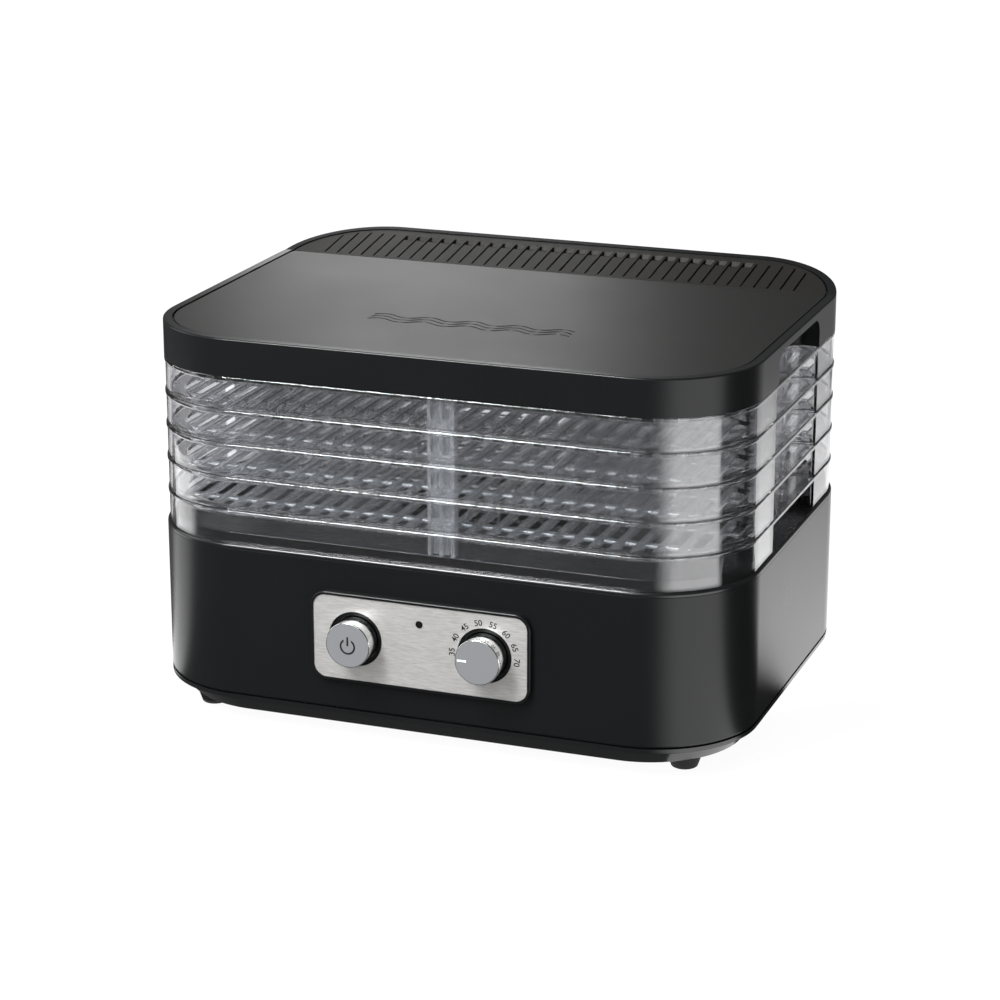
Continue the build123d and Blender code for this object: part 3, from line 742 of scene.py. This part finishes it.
def key_parts(side):
    """Three ribs, a web and a foot pad behind the front or the rear wall, off the middle."""
    centre = 10.5 * mm
    half = 7.5 * mm
    front = half_d - 2.2 * mm
    back = half_d - 8.6 * mm
    foot = collar_high.z - collar_low.z
    low = skirt_low.z + foot
    high = flange_low + 1 * mm

    def part(x, y, z):
        ends = sorted((mid_y + side * y[0], mid_y + side * y[1]))
        return add_block("key", (centre + x[0], ends[0], z[0]), (centre + x[1], ends[1], z[1]))

    parts = [part((-half + 0.1 * mm, half - 0.1 * mm), (back, back + 1.6 * mm), (low, high))]
    for offset in (-1, 0, 1):
        rib = offset * (half - 1 * mm)
        leg = part((rib - 1 * mm, rib + 1 * mm), (back - 0.1 * mm, front), (low, high))
        parts.append(soften(leg, 0.4 * mm, 3))
    pad = part((-half, half), (back + 0.1 * mm, half_d - 3.2 * mm),
               (flange_high - 1 * mm, flange_high + foot))
    return parts + [soften(pad, 0.4 * mm)]


class DEHYDRATOR_OT_lid(bpy.types.Operator):
    """Lid shell with arched hand pockets, satin top panel, vent grille and an embossed emblem"""
    bl_idname = "dehydrator.lid"
    bl_label = "Lid"

    def execute(self, context):
        place(lid_shell(), finish_of("lid_abs"), "lid", "lid_abs",
              "lid_shell", "lid_liners", "lid_deck")
        place(lid_panel(), finish_of("lid_satin"), "lid", "lid_satin", "lid_panel")
        place(vent_grille(), finish_of("lid_vent"), "lid", "lid_vent", "vent_grille")
        place(air_emblem(), finish_of("lid_satin"), "lid", "lid_satin")
        return {"FINISHED"}


rim_w = 5 * mm
groove_w = 1 * mm
panel_t = 2.2 * mm
deck_t = 2 * mm
lid_wall = 2.4 * mm


def lid_pocket(side, grow):
    """One arched hand pocket in the lid."""
    top = rim_top - panel_t - deck_t + grow
    width = sizes().pocket_width / 2 + grow
    arch = rounded_slab("arch", (-2 * half_w, mid_y - width, lid_low.z - 40 * mm),
                        (2 * half_w, mid_y + width, top), 9 * mm + grow, 0)
    return keep(pocket(side, grow, lid_low.z - 10 * mm, top + 1 * mm), arch)


def lid_shell():
    """The lid's wall and hand pockets, hollow below, with a recess for the inlaid top."""
    low, high = lid_low.z, lid_high.z + 10 * mm
    shell = keep(outline("lid_shell_moulding", 0, low, high), roof(0))
    round_edges(shell, is_brow, 0.9 * mm, 3)
    recess = cut(outline("recess", rim_w, low, high), roof(panel_t))
    cut(shell, recess)
    hollow = keep(outline("hollow", lid_wall, low - 1 * mm, high), roof(panel_t + deck_t))
    for side in (-1, 1):
        cut(hollow, lid_pocket(side, lid_wall))
    cut(shell, hollow)
    for side in (-1, 1):
        cut(shell, lid_pocket(side, 0))
    back = crease_y + 5 * mm
    well = outline("well", rim_w + 5 * mm, lid_low.z + 10 * mm, high)
    keep(well, add_block("behind", (-half_w, back, lid_low.z), (half_w, mid_y + half_d, high)))
    cut(shell, well)
    soften(shell, 0.25 * mm, 2, 50)
    return smooth(shell)


def is_brow(edge):
    """Whether an edge is the upper outer edge of the lid, level or sloping."""
    points = [v.co for v in edge.verts]
    top = [rim_top + max(0, p.y - crease_y) * roof_slope for p in points]
    on_top = all(abs(p.z - level) < 0.05 * mm for p, level in zip(points, top))
    return on_top and len(edge.link_faces) == 2 and any(abs(face.normal.z) < 0.2 for face in edge.link_faces)


def top_sheet(name):
    """The whole inlaid sheet, groove excepted."""
    sheet = outline(name, rim_w + groove_w, rim_top - panel_t - 5 * mm, lid_high.z + 10 * mm)
    keep(sheet, roof(0.3 * mm))
    return cut(sheet, roof(panel_t))


def lid_panel():
    """The level satin part of the inlaid top, ahead of the crease."""
    panel = top_sheet("lid_top_panel")
    keep(panel, add_block("ahead", (-half_w, mid_y - half_d, 0), (half_w, crease_y - 0.12 * mm, 1)))
    soften(panel, 0.3 * mm)
    return smooth(panel)


def vent_grille():
    """The sloping part of the inlaid top, with its slots and the windows at their rear ends."""
    grille = top_sheet("lid_vent_grille")
    keep(grille, add_block("behind", (-half_w, crease_y + 0.12 * mm, 0), (half_w, mid_y + half_d, 1)))
    soften(grille, 0.25 * mm)
    pitch = sizes().slot_pitch
    start = crease_y + 2.6 * mm
    stop = mid_y + half_d - 13.1 * mm
    slots = 2 * round((half_w - 20 * mm) / pitch)
    windows = slots - 10
    low, high = rim_top - 10 * mm, lid_high.z + 10 * mm
    first = -pitch * (slots - 1) / 2
    slot = add_block("slots", (first - 0.6 * mm, start, low), (first + 0.6 * mm, stop, high))
    repeat(slot, slots, (pitch, 0, 0))
    keep(slot, outline("field", rim_w + groove_w + 2.5 * mm, low - 1 * mm, high + 1 * mm))
    cut(grille, slot)
    first = -pitch * (windows - 1) / 2
    top = rim_top + roof_slope * (stop - crease_y)
    under, over = 4.7 * mm, 2 * mm
    back = stop + 0.9 * mm - under
    window = add_block("windows", (first + 0.3 * mm, stop - 7 * mm, top - under),
                       (first + 5.4 * mm, back, top + over))
    edit(window, "VERT", lambda v: v.co.y > back - tiny and v.co.z > top)
    bpy.ops.transform.translate(value=(0, under + over, 0))
    done()
    repeat(window, windows, (pitch, 0, 0))
    cut(grille, window)
    return smooth(grille)


def air_emblem():
    """Three embossed waves for moving air."""
    radius = 9.5 * mm
    swing = 84
    arcs = 9
    bpy.ops.object.select_all(action="DESELECT")
    bpy.ops.mesh.primitive_circle_add(
        vertices=12, radius=0.5 * mm, fill_type="NGON", rotation=(0, math.pi / 2, 0))
    wave = settle(bpy.context.object, "air_emblem")
    edit(wave, "FACE", lambda face: True)
    heading = math.radians(swing / 2)
    bpy.ops.transform.rotate(value=-heading, orient_axis="Z", center_override=(0, 0, 0))
    shape = bmesh.from_edit_mesh(wave.data)
    shape.faces.ensure_lookup_table()
    normal = shape.faces[0].normal
    at = Vector((0, 0, 0))
    direction = Vector((normal.x, normal.y, 0)).normalized()
    if direction.x < 0:
        direction = -direction
    sign = 1 if direction.y > 0 else -1
    for number in range(arcs):
        left = Vector((-direction.y, direction.x, 0))
        centre = at - sign * left * radius
        angle = math.radians(swing)
        bpy.ops.mesh.spin(steps=8, angle=sign * angle, center=centre, axis=(0, 0, 1))
        turn = -sign * angle
        arm = at - centre
        at = centre + Vector((arm.x * math.cos(turn) - arm.y * math.sin(turn),
                              arm.x * math.sin(turn) + arm.y * math.cos(turn), 0))
        direction = Vector((direction.x * math.cos(turn) - direction.y * math.sin(turn),
                            direction.x * math.sin(turn) + direction.y * math.cos(turn), 0))
        sign = -sign
    done()
    low = [min(v.co[axis] for v in wave.data.vertices) for axis in (0, 1)]
    high = [max(v.co[axis] for v in wave.data.vertices) for axis in (0, 1)]
    ahead = 59 * mm
    sunk = 0.25 * mm
    wave.location = (-(low[0] + high[0]) / 2, mid_y - ahead - (low[1] + high[1]) / 2, panel_high.z - sunk)
    settle(wave)
    repeat(wave, 3, (0, 5 * mm, 0))
    edit(wave, "FACE", lambda face: True)
    bpy.ops.mesh.normals_make_consistent(inside=False)
    done()
    return smooth(wave, 60)


class DEHYDRATOR_OT_base(bpy.types.Operator):
    """Base wall, ledge with its collar, bottom plate and feet"""
    bl_idname = "dehydrator.base"
    bl_label = "Base"

    def execute(self, context):
        place(base_wall(), finish_of("black_abs_gloss"), "base", "black_abs_gloss", "base_housing")
        place(base_ledge(), finish_of("black_abs_satin"), "base", "black_abs_satin", "base_deck")
        place(collar(), finish_of("black_abs_satin"), "base", "black_abs_satin", "tray_collar")
        place(plinth(), finish_of("black_abs_satin"), "base", "black_abs_satin", "bottom_plate")
        for corner in ("front_left", "front_right", "rear_left", "rear_right"):
            node = f"foot_{corner}"
            place(rubber_foot(node), finish_of("foot_rubber"), "base", "foot_rubber", node)
        return {"FINISHED"}


def base_wall():
    """The main wall, with a rounded lower edge and openings for the controls and the inlet."""
    wall_t = 2.5 * mm
    wall = outline("base_wall", -proud, wall_low.z, wall_high.z)
    for level, radius, steps in ((wall_low.z, 2 * mm, 4), (wall_high.z, 0.5 * mm, 2)):
        round_edges(
            wall, lambda edge: abs(middle(edge).z - level) < tiny and not runs_along(edge, 2), radius, steps)
    cut(wall, outline("core", wall_t - proud, wall_low.z - 1 * mm, wall_high.z + 1 * mm))
    grow = -1.8 * mm
    front = wall_low.y
    cut(wall, rounded_slab("gap", (bezel_low.x - grow, front - 9 * mm, bezel_low.z - grow),
                           (bezel_high.x + grow, front + 9 * mm, bezel_high.z + grow), 6 * mm, 1))
    inlet_low, inlet_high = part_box("mains_inlet")
    edge = 2.4 * mm
    cut(wall, rounded_slab("gap", (inlet_low.x + edge, wall_high.y - 9 * mm, inlet_low.z + edge),
                           (inlet_high.x - edge, wall_high.y + 9 * mm, inlet_high.z - edge), 3 * mm, 1))
    return smooth(wall)


def base_ledge():
    """The deck's ledge with a rounded edge, and the round air outlet."""
    top = collar_low.z
    ledge = outline("base_ledge", -proud, wall_high.z, top)
    round_edges(ledge, lambda edge: abs(middle(edge).z - top) < tiny, 1.5 * mm, 5)
    lip = 2 * mm
    band = outline("lip", lip, deck_low.z, wall_high.z + 1 * mm)
    cut(band, outline("core", 2 * lip, deck_low.z - 1 * mm, wall_high.z + 3 * mm))
    join(ledge, band)
    outlet = (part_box("outlet_grille")[1].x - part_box("outlet_grille")[0].x) / 2 - 5 * mm
    cut(ledge, add_rod("outlet", (0, mid_y, top), outlet, 20 * mm, "Z", 96))
    return smooth(ledge)


def collar():
    """The upright band round the ledge, with a rounded top edge."""
    inset = half_w - collar_high.x
    band = ring("tray_collar_band", inset, 2.5 * mm, collar_low.z, collar_high.z)
    round_edges(band, lambda edge: abs(middle(edge).z - collar_high.z) < tiny, 0.6 * mm, 3)
    return smooth(band)


def plinth():
    """The tapering bottom plate: its edge under the wall, its foot line and the intake slots."""
    edge_h = 2.5 * mm
    top, low = plinth_high.z, plinth_low.z
    body = outline("plinth", 1.8 * mm, low, top - edge_h)
    edit(body, "FACE", lambda face: face.normal.z < -0.9)
    ratio = [(half - 9 * mm) / (half - 1.8 * mm) for half in (half_w, half_d)]
    bpy.ops.transform.resize(value=(ratio[0], ratio[1], 1), center_override=(0, mid_y, low))
    done()
    round_edges(body, lambda edge: abs(middle(edge).z - low) < tiny, 1.2 * mm, 3)
    brim = outline("brim", -proud, top - edge_h, top)
    round_edges(brim, lambda edge: abs(middle(edge).z - top + edge_h) < tiny, 0.5 * mm, 2)
    join(body, brim)
    hollow = outline("hollow", 4 * mm, low + 2.2 * mm, top + 1 * mm)
    edit(hollow, "FACE", lambda face: face.normal.z < -0.9)
    bpy.ops.transform.resize(value=(ratio[0], ratio[1], 1), center_override=(0, mid_y, low))
    done()
    cut(body, hollow)
    pitch, slot_w, slot_l = 9 * mm, 4 * mm, 40 * mm
    for side in (-1, 1):
        centre = mid_y + side * (slot_l + pitch) / 2
        first = -5 * pitch
        slot = rounded_slab("slots", (first - slot_w / 2, centre - slot_l / 2, low - 2 * mm),
                            (first + slot_w / 2, centre + slot_l / 2, low + 6 * mm), slot_w / 2.1, 2, 4)
        cut(body, repeat(slot, 11, (pitch, 0, 0)))
    return smooth(body)


def rubber_foot(node):
    """A tapered foot with a rounded sole and a moulded recess."""
    low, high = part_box(node)
    x, y = (low.x + high.x) / 2, (low.y + high.y) / 2
    top = plinth_low.z
    wide = (high.x - low.x) / 2
    foot = add_rod(f"{node}_rubber", (x, y, top / 2), 7 * mm, top, "Z", 48, wide)
    edit(foot, "FACE", lambda face: face.normal.z < -0.9)
    bpy.ops.mesh.inset(thickness=2.2 * mm)
    bpy.ops.mesh.inset(thickness=0.4 * mm)
    bpy.ops.transform.translate(value=(0, 0, 0.8 * mm))
    done()
    sole = Vector((x, y, 0))
    round_edges(
        foot, lambda edge: abs(middle(edge).z) < tiny and (middle(edge) - sole).length > 6.5 * mm,
        0.7 * mm, 3)
    return smooth(foot, 40)


class DEHYDRATOR_OT_controls(bpy.types.Operator):
    """Bezel, brushed plate, push button, temperature dial and their printed marks"""
    bl_idname = "dehydrator.controls"
    bl_label = "Controls"

    def execute(self, context):
        place(bezel(), finish_of("black_abs_gloss"), "base", "black_abs_gloss", "control_bezel")
        place(steel_plate(), finish_of("brushed_plate"), "base", "brushed_plate", "control_plate")
        face = coated("silver_lacquer", colours().knob, 0.35, 0.6)
        place(push_button(), finish_of("knob_silver"), "button", "knob_silver", "power_button")
        place(knob_face("power_button_face", button_x, button_low.y), face, "button", "knob_silver")
        place(dial_knob(), finish_of("knob_silver"), "dial", "knob_silver", "temperature_dial")
        place(dial_face(), face, "dial", "knob_silver")
        ink = moulded("black_screen_print", colours().marking, 0.5, 0.3)
        for piece in scale_numbers():
            place(piece, ink, "base", "brushed_plate")
        place(power_symbol(), ink, "button", "knob_silver")
        return {"FINISHED"}


control_z = (plate_low.z + plate_high.z) / 2
button_x = (button_low.x + button_high.x) / 2
dial_x = (dial_low.x + dial_high.x) / 2
ring_r = 15.2 * mm
knob_r = (dial_high.x - dial_low.x) / 2
knob_fit = 0.5 * mm
knob_edge = 0.55 * mm


def bezel():
    """The black frame round the plate, and the floors of the wells that the knobs stand in."""
    front, back = bezel_low.y, wall_low.y + 4 * mm
    frame_piece = rounded_slab("control_bezel_frame", (bezel_low.x, front, bezel_low.z),
                               (bezel_high.x, wall_low.y + 0.2 * mm, bezel_high.z), 8.7 * mm, 1)
    round_edges(frame_piece, lambda edge: abs(middle(edge).y - front) < tiny, 0.8 * mm, 3)
    cut(frame_piece, rounded_slab("tray", (plate_low.x, front - 9 * mm, plate_low.z),
                                  (plate_high.x, plate_high.y, plate_high.z), 7 * mm, 1))
    for x in (button_x, dial_x):
        cut(frame_piece, add_rod("hole", (x, front, control_z), knob_r + knob_fit, 20 * mm, "Y"))
        well = add_rod("well", (x, (wall_low.y + back) / 2, control_z), ring_r, back - wall_low.y, "Y")
        cut(well, add_rod("hole", (x, front, control_z), knob_r + knob_fit, 40 * mm, "Y"))
        join(frame_piece, well)
    return smooth(frame_piece)


def steel_plate():
    """The metal plate, with openings for the knobs and the lens."""
    plate = rounded_slab("control_plate_steel", plate_low, plate_high, 7 * mm, 1)
    for x in (button_x, dial_x):
        cut(plate, add_rod("hole", (x, plate_low.y, control_z), ring_r, 20 * mm, "Y", 96))
    lens = ((lens_low.x + lens_high.x) / 2, plate_low.y, (lens_low.z + lens_high.z) / 2)
    cut(plate, add_rod("hole", lens, 2.1 * mm, 20 * mm, "Y", 32))
    soften(plate, 0.15 * mm, 2, 50)
    return smooth(plate)


def knob(name, x, front, back):
    """A turned cap with a bevelled front edge."""
    cap = add_rod(name, (x, (front + back) / 2, control_z), knob_r, back - front, "Y", 96)
    round_edges(cap, lambda edge: abs(middle(edge).y - front) < tiny, knob_edge, 4)
    return cut(cap, add_rod("seat", (x, front, control_z), knob_r - knob_edge, 2 * mm, "Y", 96))


def knob_face(name, x, front):
    """The satin disc let into a knob's front."""
    return add_rod(name, (x, front + 0.5 * mm, control_z), knob_r - knob_edge, 1 * mm, "Y", 96)


def push_button():
    """The button's cap and the stop flange behind the bezel."""
    stop = wall_low.y + 4 * mm
    cap = knob("power_button_cap", button_x, button_low.y, stop)
    join(cap, add_rod("flange", (button_x, stop + 0.7 * mm, control_z), 14.6 * mm, 1.5 * mm, "Y", 96))
    return smooth(cap)


def dial_knob():
    return smooth(knob("temperature_dial_knob", dial_x, dial_low.y, dial_high.y))


def dial_face():
    """The dial's disc, with a groove for the white mark."""
    mark_low, mark_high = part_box("dial_mark")
    disc = knob_face("temperature_dial_face", dial_x, dial_low.y)
    return cut(disc, add_block("mark", mark_low - Vector((0, 1 * mm, 0)), mark_high))


def printed_text(name, body, height, at, turn, depth):
    """A raised printed word facing the front."""
    bpy.ops.object.select_all(action="DESELECT")
    bpy.ops.object.text_add()
    text = bpy.context.object
    text.data.body = body
    text.data.size = height / 0.7
    text.data.align_x = "CENTER"
    text.data.align_y = "CENTER"
    text.data.extrude = depth / 2
    text.data.offset = 0.06 * mm
    select_only(text)
    bpy.ops.object.convert(target="MESH")
    text.name = name
    text.rotation_euler = (math.pi / 2, -turn, 0)
    text.location = at
    return settle(text)


def scale_numbers():
    """The numbers 35 to 70 round the dial, each upright to its own spoke."""
    made = []
    start, stop = 180, -5
    numbers = range(35, 75, 5)
    for index, number in enumerate(numbers):
        bearing = start + (stop - start) * index / (len(numbers) - 1)
        turn = math.radians(bearing)
        reach = 18 * mm
        at = (dial_x + reach * math.cos(turn), plate_low.y, control_z + reach * math.sin(turn))
        made.append(printed_text(
            f"dial_number_{number}", str(number), 3.2 * mm, at, turn - math.pi / 2, 0.06 * mm))
    return made


def power_symbol():
    """A broken circle and a stroke, printed on the button's face."""
    face = button_low.y
    radius = 3.9 * mm
    line = 1.0 * mm
    depth = 0.03 * mm
    gap = 2.1 * mm
    low = control_z - 0.7 * mm
    symbol = add_rod("power_symbol", (button_x, face, low), radius + line / 2, 2 * depth, "Y", 96)
    cut(symbol, add_rod("core", (button_x, face, low), radius - line / 2, 20 * depth, "Y", 96))
    cut(symbol, add_block("gap", (button_x - gap, face - 1 * mm, low),
                          (button_x + gap, face + 1 * mm, low + 6 * mm)))
    return join(symbol, add_block("stroke", (button_x - line / 2, face - depth, low + 0.4 * mm),
                                  (button_x + line / 2, face + depth, low + 5.4 * mm)))


class DEHYDRATOR_OT_inner_parts(bpy.types.Operator):
    """Finishes for the parts that keep their machined shape"""
    bl_idname = "dehydrator.inner_parts"
    bl_label = "Inner parts"

    def execute(self, context):
        for row in frame["record"]["subparts"]:
            node = frame["nodes"][row["node"]]
            if not node.hide_render:
                node.data.materials.clear()
                node.data.materials.append(finish_of(row["material_slot"]))
        return {"FINISHED"}


class DEHYDRATOR_PT_panel(bpy.types.Panel):
    """Sizes, colours and builders of the dehydrator"""
    bl_label = "Food dehydrator"
    bl_space_type = "VIEW_3D"
    bl_region_type = "UI"
    bl_category = "Dehydrator"

    def draw(self, context):
        for group in (context.scene.dehydrator_sizes, context.scene.dehydrator_colours):
            for name in group.__annotations__:
                self.layout.prop(group, name)
        for builder in builders:
            self.layout.operator(builder.bl_idname)


builders = (
    DEHYDRATOR_OT_stage,
    DEHYDRATOR_OT_base,
    DEHYDRATOR_OT_controls,
    DEHYDRATOR_OT_trays,
    DEHYDRATOR_OT_lid,
    DEHYDRATOR_OT_inner_parts,
)
classes = (DehydratorSizes, DehydratorColours, *builders, DEHYDRATOR_PT_panel)


def register():
    for kind in classes:
        bpy.utils.register_class(kind)
    bpy.types.Scene.dehydrator_sizes = PointerProperty(type=DehydratorSizes)
    bpy.types.Scene.dehydrator_colours = PointerProperty(type=DehydratorColours)


def unregister():
    del bpy.types.Scene.dehydrator_colours
    del bpy.types.Scene.dehydrator_sizes
    for kind in reversed(classes):
        bpy.utils.unregister_class(kind)


def main():
    register()
    bpy.ops.dehydrator.stage()
    bpy.ops.dehydrator.base()
    bpy.ops.dehydrator.controls()
    bpy.ops.dehydrator.trays()
    bpy.ops.dehydrator.lid()
    bpy.ops.dehydrator.inner_parts()


if __name__ == "__main__":
    main()
